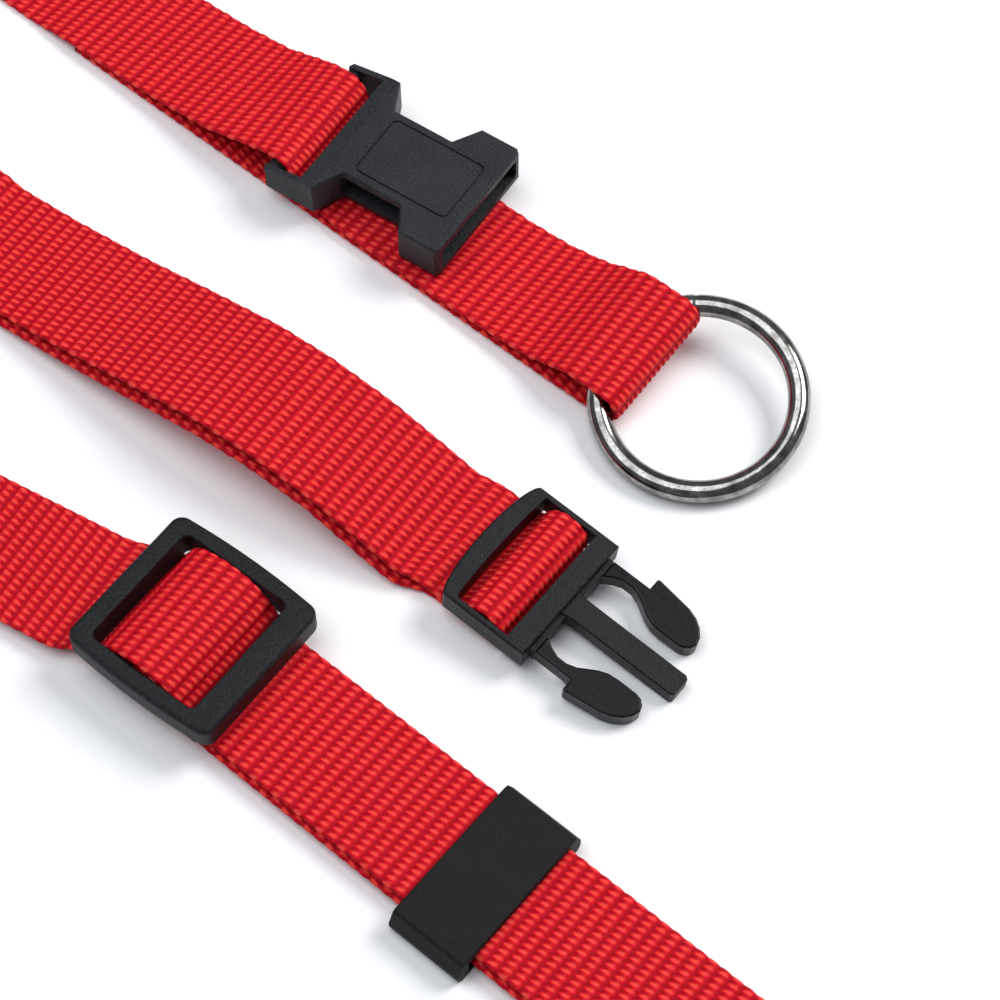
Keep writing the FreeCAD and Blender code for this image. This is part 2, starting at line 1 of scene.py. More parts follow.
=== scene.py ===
"""Looks for the red webbing lanyard: one long woven strap with real folds and ribs, thread, a
steel ring and grained plastic hardware, on a pale table."""
import json
import math
import bpy
import numpy as np
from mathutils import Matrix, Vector


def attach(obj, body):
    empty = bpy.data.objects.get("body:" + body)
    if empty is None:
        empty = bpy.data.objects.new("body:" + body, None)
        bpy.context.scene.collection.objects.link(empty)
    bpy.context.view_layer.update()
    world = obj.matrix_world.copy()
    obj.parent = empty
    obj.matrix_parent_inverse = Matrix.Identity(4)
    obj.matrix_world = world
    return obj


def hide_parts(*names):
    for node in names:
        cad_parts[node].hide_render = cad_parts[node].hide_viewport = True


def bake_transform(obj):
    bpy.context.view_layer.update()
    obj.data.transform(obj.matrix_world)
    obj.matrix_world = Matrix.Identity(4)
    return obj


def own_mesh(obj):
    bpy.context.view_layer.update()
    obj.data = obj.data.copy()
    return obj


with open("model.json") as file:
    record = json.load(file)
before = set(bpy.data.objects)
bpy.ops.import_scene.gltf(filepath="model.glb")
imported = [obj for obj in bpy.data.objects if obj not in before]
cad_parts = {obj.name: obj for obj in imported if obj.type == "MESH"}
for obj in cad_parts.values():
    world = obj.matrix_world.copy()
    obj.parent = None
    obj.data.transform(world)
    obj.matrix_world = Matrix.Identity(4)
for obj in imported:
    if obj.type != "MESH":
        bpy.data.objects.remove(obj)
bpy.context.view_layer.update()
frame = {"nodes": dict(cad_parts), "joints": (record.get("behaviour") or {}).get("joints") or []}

MM = 0.001

# ---- webbing, millimetres ---------------------------------------------------------------
WEB_WIDTH = 24.4
WEB_THICK = 1.45
LAYER = 1.55
RIB_PITCH = 2.53                  # one raised rib across the strap
BUMP_PITCH = 1.36                 # bumps along a rib; the next rib is offset by half of this
RIB_HEIGHT = 0.52                 # top of a bump above the valleys
BUMP_DIP = 0.56                   # share of that height lost between two bumps of a rib
BUMP_JOINED = 0.62                # bumps run together on one side of the rib, and part on the other
BUMP_SLANT = 0.16                 # bumps lean sideways by this much per mm along the strap
RIB_FULLNESS = 0.85               # below 1 makes the ribs broad and the valleys narrow
CORE_HALF = 0.29                  # from the strap's middle to the bottom of its valleys
EDGE_SWELL = 0.16                 # how far the selvedge stands out everywhere
EDGE_SCALLOP = 0.16               # and how much more beside each rib
EDGE_THIN = 0.65                  # share of the thickness left at the very selvedge
EDGE_TAPER = 0.55                 # distance from the selvedge over which the strap thins
ROWS_PER_RIB = 6
ACROSS = 91                       # points across the strap
EDGE_ROWS = 3                     # points round each selvedge, between the two faces
ROW_SPACING = RIB_PITCH / ROWS_PER_RIB
FINE_STEP = 0.1                   # spacing of the points that a route is smoothed on
SINGED, BESIDE_SINGED = 1.0, 0.7  # scorch on a cut end's last row, and on the row before it
HALF_THICK = WEB_THICK / 2
UPPER_LAYER = HALF_THICK + LAYER

# ---- lanes on the table: place (x, y) and heading in degrees ---------------------------------
RING_LANE = (0.0, 37.6, 0.0)
CROWN_LANE = (0.0, 38.5, 0.0)     # the strap's hump over the female half's web bar
FEMALE_PLACE = (-78.4, 38.4, 6.0)  # the female half's web bar, which also sets the frame's shift
MALE_LANE = (14.5, -11.3, 3.4)
MALE_UNDER_LANE = (14.5, -12.4, 3.4)  # the layer below lies slightly out of line
MALE_PLACE = (14.0, -10.7, 0.8)
LEFT_LANE = (-36.0, -61.2, 9.0)
LOOP_LANE = (-23.0, -58.0, -0.5)
LOOP_UNDER_LANE = (-23.0, -58.8, -0.5)  # and so does this one
SLIDER_PLACE = (-22.2, -57.2, 1.8)
TURN_A_X, TURN_B_X = -172.0, -136.0  # the first and the second pair of flat folds
TURN_A_START, TURN_B_START = -150.0, -134.0  # where the run before them ends, along its lane
# and where the run after them begins, along its own lane
TURN_A_FINISH = TURN_A_X - MALE_LANE[0] + 14.0
TURN_B_FINISH = TURN_B_X - LEFT_LANE[0] + 15.0

# ---- the strap's turns -----------------------------------------------------------------------
FOLD_X, FOLD_Z, FOLD_R = 3.4, 6.15, 3.3      # round the ring's wire
LIFT_FROM_X = -30.0               # the strap starts to twist here
LIFT_FULL_SHORT = 5.0             # and has its full twist this far short of the fold
MALE_BAR_X = 0.9                  # the male half's centre bar
TAIL_X = -131.0                   # the strap's cut end, under the ring run
LOOP_END_X = 134.0
LOOP_Z = 1.2                      # underside of the loop's lower layer
LOOP_BULB = 1.7                   # radius of the turn at the loop's far end
UPPER_FROM_X, UPPER_TO_X = 13.2, 118.0       # the loop's upper layer
RING_CUT_X = -60.0                # where the ring end's piece stops, under the buckle
MALE_CUT_X = -46.0                # and the male end's, along its lane
# distance over which a route's corners are rounded
LANE_SOFTNESS, LOOP_SOFTNESS, SLIDER_SOFTNESS = 0.75, 0.8, 0.6

# ---- ring ------------------------------------------------------------------------------------
RING_MEAN_R, RING_WIRE_R = 18.5, 2.1
RING_ROLL = 9.0                   # degrees that it rises towards +Y
RING_PITCH = 3.3                  # degrees that it falls towards +X
WIRE_SET_BACK = 1.0               # from the fold's centre back to the wire, at the selvedges
RING_SIDES = 40                   # points round the wire
RING_STEPS = 360                  # and along it
SEAM_ANGLE = 129.7                # degrees from +X to the butt seam
SEAM_WIDTH, SEAM_DEPTH = 0.28, 0.16
SEAM_OFFSET = 0.05                # how far the cut ends stand out of line
SEAM_OFFSET_TURN, SEAM_OFFSET_REACH = 0.3, 5.0  # over which they part, and fall back into line
WIRE_WAVE, WIRE_WAVES = 0.004, 5  # slight unevenness of the wire round the ring

# ---- thread ----------------------------------------------------------------------------------
STITCH_ROWS_X = (-69.4, -67.6, -65.8)
STITCHES = 7
STITCH_FROM = -6.6                # first stitch of each row, across the ring lane
STITCH_PITCH = 2.2
STITCH_LENGTH = 1.7
STITCH_RISE = 0.22                # the middle of a stitch above its ends
STITCH_POINTS = 9
STITCH_Z = UPPER_LAYER + 0.66
THREAD_R = 0.22
THREAD_SIDES = 8

# ---- the camera, millimetres from the point on the table that it looks at --------------------
CAMERA_PLACE = (158.9, -192.7, 445.1)
CAMERA_LENS = 100.8
CAMERA_SENSOR = 36.0
CAMERA_NEAR, CAMERA_FAR = 0.05, 20.0

# ---- studio, metres: place, size, power and colour of each square light -----------------------
KEY_LIGHT = ((0.35, 0.70, 0.80), 0.50, 8.5, (1.0, 0.985, 0.965))
OVERHEAD_LIGHT = ((-0.30, -0.20, 1.30), 1.20, 12.0, (0.95, 0.97, 1.0))
SKY_COLOUR, SKY_STRENGTH = (0.86, 0.91, 1.0, 1.0), 0.22
FLOOR_HALF = 2.0
FLOOR_COLOUR = (0.955, 0.96, 0.97, 1.0)

# ---- moulded plastics: colours from grain hollow to grain top, and the grain in metres --------
GRAIN_SHARE = 0.72                # how much of the tone comes from the grain
SCUFF_SWING = 0.22                # roughness between a scuff and clean plastic
PLASTICS = {
    "charcoal_buckle": dict(dark=(0.006, 0.007, 0.009, 1.0), light=(0.034, 0.036, 0.042, 1.0),
                            roughness=0.44, grain_size=0.00045, grain_depth=0.00032),
    "black_buckle": dict(dark=(0.002, 0.002, 0.003, 1.0), light=(0.010, 0.010, 0.012, 1.0),
                         roughness=0.40, grain_size=0.00042, grain_depth=0.00022),
    "black_spring_arms": dict(dark=(0.001, 0.001, 0.002, 1.0), light=(0.006, 0.006, 0.008, 1.0),
                              roughness=0.30, grain_size=0.00060, grain_depth=0.00002),
    "black_slider": dict(dark=(0.002, 0.002, 0.003, 1.0), light=(0.016, 0.016, 0.019, 1.0),
                         roughness=0.44, grain_size=0.00048, grain_depth=0.00036),
    "matte_sleeve": dict(dark=(0.002, 0.002, 0.002, 1.0), light=(0.009, 0.008, 0.008, 1.0),
                         roughness=0.58, grain_size=0.00042, grain_depth=0.00026),
}
PLASTIC_OF = {"female_buckle": "charcoal_buckle", "male_body": "black_buckle",
              "latch_arm_left": "black_spring_arms", "latch_arm_right": "black_spring_arms",
              "slider": "black_slider", "keeper": "matte_sleeve"}


def joint(name):
    return next(j for j in frame["joints"] if j["name"] == name)


def frame_shift():
    """The layout's origin in the frame, from the female buckle's hinge."""
    x, y = joint("female_lift")["pos_m"][:2]
    return np.array([x / MM - FEMALE_PLACE[0], y / MM - FEMALE_PLACE[1], 0.0])


SHIFT = frame_shift()


def in_frame(point):
    """A layout point in millimetres as a frame point in metres."""
    return tuple((np.array(point, float) + SHIFT) * MM)


def new_piece(name, points, faces, material):
    """A smooth-shaded mesh object from layout points in millimetres."""
    mesh = bpy.data.meshes.new(name)
    mesh.from_pydata(((np.array(points) + SHIFT) * MM).tolist(), [], faces)
    mesh.polygons.foreach_set("use_smooth", [True] * len(mesh.polygons))
    mesh.materials.append(material)
    piece = bpy.data.objects.new(name, mesh)
    bpy.context.scene.collection.objects.link(piece)
    return piece


# ==== camera, light and floor =======================================================================
def add_camera():
    data = bpy.data.cameras.new("camera")
    data.lens = CAMERA_LENS
    data.sensor_width = CAMERA_SENSOR
    data.clip_start = CAMERA_NEAR
    data.clip_end = CAMERA_FAR
    camera = bpy.data.objects.new("camera", data)
    bpy.context.scene.collection.objects.link(camera)
    camera.location = in_frame(CAMERA_PLACE)
    aim = Vector(in_frame((0.0, 0.0, 0.0)))
    camera.rotation_mode = "QUATERNION"
    camera.rotation_quaternion = (aim - camera.location).to_track_quat("-Z", "Y")
    bpy.context.scene.camera = camera


def add_area_light(name, place, size, power, colour):
    data = bpy.data.lights.new(name, "AREA")
    data.shape = "SQUARE"
    data.size = size
    data.energy = power
    data.color = colour
    light = bpy.data.objects.new(name, data)
    bpy.context.scene.collection.objects.link(light)
    light.location = place
    light.rotation_mode = "QUATERNION"
    light.rotation_quaternion = (-Vector(place)).to_track_quat("-Z", "Y")


def add_lights():
    add_area_light("key", *KEY_LIGHT)
    add_area_light("overhead", *OVERHEAD_LIGHT)
    world = bpy.data.worlds.new("studio")
    world.use_nodes = True
    back = world.node_tree.nodes["Background"]
    back.inputs["Color"].default_value = SKY_COLOUR
    back.inputs["Strength"].default_value = SKY_STRENGTH
    bpy.context.scene.world = world
    bpy.context.scene.view_settings.view_transform = "Standard"


def add_floor():
    half = FLOOR_HALF
    corners = [(-half, -half, 0.0), (half, -half, 0.0), (half, half, 0.0), (-half, half, 0.0)]
    mesh = bpy.data.meshes.new("floor")
    mesh.from_pydata(corners, [], [(0, 1, 2, 3)])
    floor = bpy.data.objects.new("floor", mesh)
    bpy.context.scene.collection.objects.link(floor)
    material, _, _, shader = new_material("floor_paper")
    set_sockets(shader, {"Base Color": FLOOR_COLOUR, "Roughness": 0.8,
                         "Specular IOR Level": 0.2})
    mesh.materials.append(material)


# ==== materials =====================================================================================
def new_material(name):
    material = bpy.data.materials.new(name)
    material.use_nodes = True
    nodes = material.node_tree.nodes
    return material, nodes, material.node_tree.links, nodes["Principled BSDF"]


def set_sockets(shader, values):
    for socket, value in values.items():
        shader.inputs[socket].default_value = value


def math_node(nodes, links, operation, first, second=None):
    """A Math node; each argument is a socket or a number."""
    node = nodes.new("ShaderNodeMath")
    node.operation = operation
    for i, value in enumerate((first, second)):
        if value is None:
            continue
        if isinstance(value, (int, float)):
            node.inputs[i].default_value = value
        else:
            links.new(value, node.inputs[i])
    return node.outputs[0]


def ramp_node(nodes, links, factor, stops):
    """A colour ramp with (position, colour) stops."""
    node = nodes.new("ShaderNodeValToRGB")
    ramp = node.color_ramp
    while len(ramp.elements) < len(stops):
        ramp.elements.new(0.5)
    for element, (position, colour) in zip(ramp.elements, stops):
        element.position = position
        element.color = colour
    links.new(factor, node.inputs["Fac"])
    return node.outputs["Color"]


def noise_node(nodes, links, vector, scale, detail=3.0, roughness=0.55):
    node = nodes.new("ShaderNodeTexNoise")
    node.inputs["Scale"].default_value = scale
    node.inputs["Detail"].default_value = detail
    node.inputs["Roughness"].default_value = roughness
    links.new(vector, node.inputs["Vector"])
    return node.outputs["Fac"]


def mixed(nodes, links, base, *swings):
    """base plus, for each (pattern, amount), the pattern's swing about one half."""
    for pattern, amount in swings:
        swing = math_node(nodes, links, "SUBTRACT", pattern, 0.5)
        share = math_node(nodes, links, "MULTIPLY", swing, amount)
        base = math_node(nodes, links, "ADD", base, share)
    return base


def weighted(nodes, links, pattern, weight, base):
    """weight times a pattern, plus a base that may be a socket or a number."""
    return math_node(nodes, links, "ADD", math_node(nodes, links, "MULTIPLY", pattern, weight), base)


def bump_node(nodes, links, height, distance, strength=1.0, normal=None):
    node = nodes.new("ShaderNodeBump")
    node.inputs["Distance"].default_value = distance
    node.inputs["Strength"].default_value = strength
    links.new(height, node.inputs["Height"])
    if normal is not None:
        links.new(normal, node.inputs["Normal"])
    return node.outputs["Normal"]


def strap_place(nodes, links):
    """What strap_mesh stores: the whole vector, millimetres along and across, and the scorch."""
    place = nodes.new("ShaderNodeAttribute")
    place.attribute_name = "strap_place"
    parts = nodes.new("ShaderNodeSeparateXYZ")
    links.new(place.outputs["Vector"], parts.inputs[0])
    return place.outputs["Vector"], parts.outputs[0], parts.outputs[1], parts.outputs[2]


def stretched(nodes, links, vector, scale, turn=(0.0, 0.0, 0.0)):
    node = nodes.new("ShaderNodeMapping")
    node.inputs["Scale"].default_value = scale
    node.inputs["Rotation"].default_value = turn
    links.new(vector, node.inputs["Vector"])
    return node.outputs["Vector"]


def weave_nodes(nodes, links, along, across):
    """The same rib and bump pattern as woven_height, from 0 in a valley to 1 on a bump."""
    def times(first, second):
        return math_node(nodes, links, "MULTIPLY", first, second)

    def plus(first, second):
        return math_node(nodes, links, "ADD", first, second)

    rib = math_node(nodes, links, "ROUND", times(along, 1.0 / RIB_PITCH))
    ahead = plus(along, times(rib, -RIB_PITCH))
    odd = math_node(nodes, links, "PINGPONG", rib, 1.0)
    place = plus(plus(across, times(ahead, BUMP_SLANT)), times(odd, BUMP_PITCH / 2))
    bumps = math_node(nodes, links, "COSINE", times(place, 2 * math.pi / BUMP_PITCH))
    crest = math_node(nodes, links, "COSINE", times(ahead, math.pi / RIB_PITCH))
    crest = math_node(nodes, links, "MAXIMUM", crest, 0.0001)
    crest = math_node(nodes, links, "POWER", crest, RIB_FULLNESS)
    dip = plus(times(ahead, BUMP_DIP / RIB_PITCH), BUMP_DIP * BUMP_JOINED)
    gap = times(dip, plus(times(bumps, -1.0), 1.0))
    return times(crest, plus(times(gap, -1.0), 1.0))


def webbing_material():
    """Crimson valleys and orange-red bumps, which are painted shade and painted highlight, with the
    yarns' fine slanted threads.
    """
    material, nodes, links, shader = new_material("red_webbing")
    vector, along, across, cut = strap_place(nodes, links)
    height = weave_nodes(nodes, links, along, across)
    slanted = stretched(nodes, links, vector, scale=(1.6, 5.0, 1.0), turn=(0, 0, 0.42))
    threads = noise_node(nodes, links, slanted, scale=1.0, detail=5.0, roughness=0.72)
    patches = noise_node(nodes, links, vector, scale=0.09, detail=2.0)
    tone = mixed(nodes, links, height, (threads, 1.1), (patches, 0.15))
    # painted shade and highlight: the weave's height paints the valleys darker crimson and the bumps
    # lighter orange-red
    colour = ramp_node(nodes, links, tone, [
        (0.0, (0.38, 0.0003, 0.007, 1.0)), (0.36, (0.55, 0.001, 0.013, 1.0)),
        (0.56, (0.72, 0.011, 0.020, 1.0)), (0.88, (0.90, 0.066, 0.052, 1.0))])
    scorch = nodes.new("ShaderNodeMixRGB")
    scorch.inputs["Color2"].default_value = (0.055, 0.004, 0.006, 1.0)
    links.new(cut, scorch.inputs["Fac"])
    links.new(colour, scorch.inputs["Color1"])
    links.new(scorch.outputs["Color"], shader.inputs["Base Color"])
    links.new(weighted(nodes, links, threads, weight=0.25, base=0.48), shader.inputs["Roughness"])
    woven = bump_node(nodes, links, height, distance=0.00008, strength=0.6)
    threaded = bump_node(nodes, links, threads, distance=0.00013, strength=0.9, normal=woven)
    links.new(threaded, shader.inputs["Normal"])
    set_sockets(shader, {"Specular IOR Level": 0.13})
    return material


def thread_material():
    """Twisted sewing thread, with its plies as a fine wave, painted darker in the grooves and lighter
    on the crests as shade and highlight.
    """
    material, nodes, links, shader = new_material("red_thread")
    place = nodes.new("ShaderNodeTexCoord")
    plies = nodes.new("ShaderNodeTexWave")
    plies.inputs["Scale"].default_value = 900.0
    plies.inputs["Distortion"].default_value = 1.5
    links.new(place.outputs["Object"], plies.inputs["Vector"])
    # painted shade in the grooves between the plies, painted highlight on their crests
    colour = ramp_node(nodes, links, plies.outputs["Fac"], [
        (0.0, (0.30, 0.004, 0.010, 1.0)), (1.0, (0.72, 0.045, 0.035, 1.0))])
    links.new(colour, shader.inputs["Base Color"])
    twist = bump_node(nodes, links, plies.outputs["Fac"], distance=0.00005)
    links.new(twist, shader.inputs["Normal"])
    set_sockets(shader, {"Roughness": 0.5, "Sheen Weight": 0.2})
    return material


def plastic_material(name, dark, light, roughness, grain_size, grain_depth):
    """Moulded plastic: a fine grain, faint scuffs and slow changes of tone."""
    material, nodes, links, shader = new_material(name)
    place = nodes.new("ShaderNodeTexCoord").outputs["Object"]
    grain = noise_node(nodes, links, place, scale=1.0 / grain_size, detail=3.0, roughness=0.6)
    slow = noise_node(nodes, links, place, scale=110.0, detail=4.0, roughness=0.6)
    rubbed = stretched(nodes, links, place, scale=(260.0, 1400.0, 600.0), turn=(0, 0, 0.5))
    scuffs = noise_node(nodes, links, rubbed, scale=1.0, detail=3.0, roughness=0.6)
    slow_part = math_node(nodes, links, "MULTIPLY", slow, 1.0 - GRAIN_SHARE)
    tone = weighted(nodes, links, grain, weight=GRAIN_SHARE, base=slow_part)
    colour = ramp_node(nodes, links, tone, [(0.32, dark), (0.68, light)])
    links.new(colour, shader.inputs["Base Color"])
    scuffed = weighted(nodes, links, scuffs, weight=SCUFF_SWING, base=roughness - SCUFF_SWING / 2)
    links.new(scuffed, shader.inputs["Roughness"])
    grained = bump_node(nodes, links, grain, distance=grain_depth, strength=0.8)
    links.new(grained, shader.inputs["Normal"])
    set_sockets(shader, {"Specular IOR Level": 0.22})
    return material


def steel_material():
    """Nickel plate with soft mottling and small pits."""
    material, nodes, links, shader = new_material("nickel_steel")
    place = nodes.new("ShaderNodeTexCoord").outputs["Object"]
    mottle = noise_node(nodes, links, place, scale=300.0, detail=8.0, roughness=0.72)
    pits = nodes.new("ShaderNodeTexVoronoi")
    pits.inputs["Scale"].default_value = 1500.0
    links.new(place, pits.inputs["Vector"])
    pit = math_node(nodes, links, "LESS_THAN", pits.outputs["Distance"], 0.2)
    patchy = math_node(nodes, links, "GREATER_THAN", mottle, 0.53)
    worn = math_node(nodes, links, "MULTIPLY", pit, patchy)
    tone = math_node(nodes, links, "SUBTRACT", mottle, math_node(nodes, links, "MULTIPLY", worn, 0.4))
    colour = ramp_node(nodes, links, tone, [
        (0.25, (0.06, 0.057, 0.054, 1.0)), (0.48, (0.24, 0.23, 0.22, 1.0)),
        (0.68, (0.46, 0.445, 0.43, 1.0))])
    links.new(colour, shader.inputs["Base Color"])
    links.new(weighted(nodes, links, mottle, weight=0.22, base=0.02), shader.inputs["Roughness"])
    dents = bump_node(nodes, links, mottle, distance=0.00001, strength=0.5)
    pitted = bump_node(nodes, links, worn, distance=0.00002, strength=0.6, normal=dents)
    links.new(pitted, shader.inputs["Normal"])
    set_sockets(shader, {"Metallic": 1.0})
    return material


# ==== the strap's route, as rows of (x, y, z, heading, sideways rise) =================================
def lane_rows(lane, path, lift=None, lean=0.0):
    """A side view path of (x, z) points, set out in its lane; lean turns its rows, in degrees."""
    x0, y0, heading = lane
    turn = math.radians(heading)
    rows = []
    for x, z in path:
        rise = lift(x) if lift else 0.0
        rows.append((x0 + x * math.cos(turn), y0 + x * math.sin(turn), z, heading + lean, rise))
    return rows


def arc_points(cx, cz, radius, start, end, steps):
    angles = [math.radians(start + (end - start) * i / steps) for i in range(steps + 1)]
    return [(cx + radius * math.cos(a), cz + radius * math.sin(a)) for a in angles]


def ring_lift(x):
    """Rise per millimetre across the strap, growing towards the ring."""
    share = min(max((x - LIFT_FROM_X) / (FOLD_X - LIFT_FULL_SHORT - LIFT_FROM_X), 0.0), 1.0)
    return math.tan(math.radians(RING_ROLL)) * share * share * (3 - 2 * share)


def ring_lane_rows():
    """Cut end, back layer, fold round the ring, front layer, and over the buckle's web bar."""
    flat, upper = HALF_THICK, UPPER_LAYER
    low, high = FOLD_Z - FOLD_R, FOLD_Z + FOLD_R
    bar = FEMALE_PLACE[0]
    back = [(TAIL_X, flat), (-60.0, flat), (-32.0, flat), (-24.0, 0.98), (-18.0, 1.51),
            (-14.0, 1.92), (-9.0, 2.4), (-4.6, low)]
    fold = arc_points(FOLD_X, FOLD_Z, FOLD_R, -90, 90, 10)
    front = [(-5.0, high - 0.05), (-11.0, 6.7), (-14.0, 5.2), (-18.0, 4.25), (-24.0, 3.1),
             (-34.0, upper), (-60.0, upper)]
    crown = [(bar + 7.8, upper), (bar + 6.0, 2.75), (bar + 4.9, 4.3), (bar + 4.45, 6.2),
             (bar + 3.7, 8.2), (bar + 2.2, 9.5), (bar, 10.0), (bar - 2.4, 9.7), (bar - 5.5, 8.7)]
    slope = [(-95.0, 5.7), (-106.0, 3.7), (-118.0, 2.6), (-130.0, upper), (-136.0, 1.7),
             (-143.0, flat), (TURN_A_START, flat)]
    return (lane_rows(RING_LANE, back + fold + front, ring_lift)
            + lane_rows(CROWN_LANE, crown, lean=FEMALE_PLACE[2]) + lane_rows(RING_LANE, slope))


def male_lane_rows():
    """Front layer over the second fold, arch, wrap round the centre bar, and the layer below."""
    high = HALF_THICK + 2 * LAYER + 0.05
    over_turn_b = TURN_B_X - MALE_LANE[0]
    climb = [(TURN_A_FINISH, HALF_THICK), (TURN_A_FINISH + 4.0, HALF_THICK),
             (over_turn_b - 16.0, high), (-132.0, high)]
    crest = [(-38.0, 10.4), (-52.0, 12.4), (-64.0, 12.2), (-80.0, 9.2), (-96.0, 5.8), (-114.0, 3.2),
             (-128.0, UPPER_LAYER)]
    drops = [2.1, 2.6, 3.2, 3.2, 2.6, 2.0, LAYER]
    bar = MALE_BAR_X
    top = crest[::-1] + [(-25.0, 6.3), (-19.0, 4.0)]
    into = [(-14.0, 2.75), (-11.0, 2.35), (-7.0, 2.3), (bar - 5.8, 2.6), (bar - 4.8, 3.6),
            (bar - 4.3, 5.2), (bar - 3.5, 6.7)]
    over = [(bar - 1.9, 7.95), (bar, 8.4), (bar + 2.1, 7.9), (bar + 3.7, 6.6), (bar + 4.25, 4.9)]
    back = [(bar + 4.0, 3.2), (bar + 3.0, 1.8), (bar + 1.1, 0.9), (-3.0, HALF_THICK),
            (-12.0, HALF_THICK)]
    below = [(-19.0, 1.3), (-26.0, 3.6)] + [(x, z - drop) for (x, z), drop in zip(crest, drops)]
    below.append((TURN_B_START, HALF_THICK))
    return (lane_rows(MALE_LANE, climb + top) + lane_rows(MALE_PLACE, into + over + back)
            + lane_rows(MALE_UNDER_LANE, below))


def loop_lane_rows():
    """Up to the slider from the left, on under it and the keeper, round the far end, and back."""
    low = LOOP_Z + HALF_THICK
    left = [(TURN_B_FINISH, HALF_THICK), (-46.0, HALF_THICK), (-34.0, 1.15), (-18.0, 2.4),
            (-7.0, 3.1)]
    middle = [(-12.0, 3.0), (-8.0, 2.3), (-2.0, 2.0)]
    under = [(16.0, low), (30.0, low), (LOOP_END_X - 8.0, low), (LOOP_END_X - 3.0, low)]
    bulb_x = LOOP_END_X - LOOP_BULB - HALF_THICK
    turn_back = arc_points(bulb_x, low + LOOP_BULB, LOOP_BULB, -90, 90, 8)
    back = [(LOOP_END_X - 8.0, low + 2 * LOOP_BULB - 0.3), (UPPER_TO_X + 4.0, low + LAYER),
            (UPPER_TO_X, low + LAYER), (UPPER_FROM_X, low + LAYER)]
    return (lane_rows(LEFT_LANE, left) + lane_rows(LOOP_LANE, middle)
            + lane_rows(LOOP_UNDER_LANE, under) + lane_rows(LOOP_LANE, turn_back + back))


def slider_hump_rows():
    """Up from the loop's upper layer, over the slider's middle bar, and down into it."""
    upper = LOOP_Z + UPPER_LAYER
    path = [(UPPER_FROM_X - 1.1, upper), (10.1, upper + 0.05), (9.2, 3.8), (8.2, 4.9), (6.8, 7.2),
            (4.4, 9.4), (1.0, 10.7), (-2.5, 10.9), (-6.0, 10.2), (-8.9, 8.8), (-10.5, 6.6),
            (-10.9, 4.5)]
    return lane_rows(SLIDER_PLACE, path)


def slider_inner_rows():
    """The strap's own end, sewn in a small loop round the slider's middle bar."""
    path = [(4.3, 5.4), (4.0, 7.4), (2.6, 8.7), (0.0, 9.0), (-2.2, 8.5), (-2.9, 6.6), (-2.7, 5.0),
            (-1.2, 4.2), (2.4, 4.2)]
    return lane_rows(SLIDER_PLACE, path)


# ==== mid-surfaces: grids of points, rows along the strap and columns across it =======================
def travelled(points):
    """Distance from the first point to each point along a line."""
    return np.concatenate([[0.0], np.cumsum(np.linalg.norm(np.diff(points, axis=0), axis=1))])


def smoothed(rows, softness):
    """Rows at even spacing along a route whose corners are rounded over about that distance."""
    rows = np.array(rows, float)
    reach = travelled(rows[:, :3])
    fine = np.arange(0.0, reach[-1], FINE_STEP)
    line = np.array([np.interp(fine, reach, rows[:, k]) for k in range(rows.shape[1])]).T
    pad = int(4 * softness / FINE_STEP)
    before = 2 * line[0] - line[1:pad + 1][::-1]
    after = 2 * line[-1] - line[-pad - 1:-1][::-1]
    offsets = np.arange(-pad, pad + 1) * FINE_STEP
    weights = np.exp(-0.5 * (offsets / softness) ** 2)
    weights /= weights.sum()
    padded = np.vstack([before, line, after])
    line = np.array([np.convolve(padded[:, k], weights, "valid") for k in range(line.shape[1])]).T
    reach = travelled(line[:, :3])
    count = max(int(round(reach[-1] / ROW_SPACING)), 4)
    even = np.linspace(0.0, reach[-1], count + 1)
    return np.array([np.interp(even, reach, line[:, k]) for k in range(line.shape[1])]).T


def across_places():
    return np.linspace(-WEB_WIDTH / 2, WEB_WIDTH / 2, ACROSS)


def route_grid(rows, softness, facing=1.0):
    """A strap along a route; facing says which selvedge is on its left."""
    line = smoothed(rows, softness)
    turn = np.radians(line[:, 3])
    side = np.stack([-np.sin(turn), np.cos(turn), line[:, 4]], axis=1)
    return line[:, None, :3] + facing * across_places()[None, :, None] * side[:, None, :]


def fold_over(points, beyond, crease, angle, towards, rise):
    """Fold the points that lie beyond a crease back over it, with a small round turn."""
    radius = LAYER / 2
    line = np.array([math.cos(angle), math.sin(angle)])
    out = np.array([-line[1], line[0]])
    if np.dot(out, towards) < 0:
        out = -out
    flat = points[..., :2] - crease
    far = flat @ out
    turn = np.clip(far / radius + math.pi / 2, 0.0, math.pi)
    wrapped = np.where(turn <= 0, far, np.where(turn >= math.pi, -far,
                       -radius * math.pi / 2 + radius * np.sin(turn)))
    folded = points.copy()
    folded[..., :2] = points[..., :2] + (wrapped - far)[..., None] * out
    folded[..., 2] = points[..., 2] + rise * radius * (1 - np.cos(turn))
    return np.where(beyond[..., None], folded, points)


def lane_point(lane, x):
    """The lane's middle at a place x on the table."""
    return np.array([x, lane[1] + (x - lane[0]) * math.tan(math.radians(lane[2]))])


def lane_way(lane):
    return np.array([math.cos(math.radians(lane[2])), math.sin(math.radians(lane[2]))])


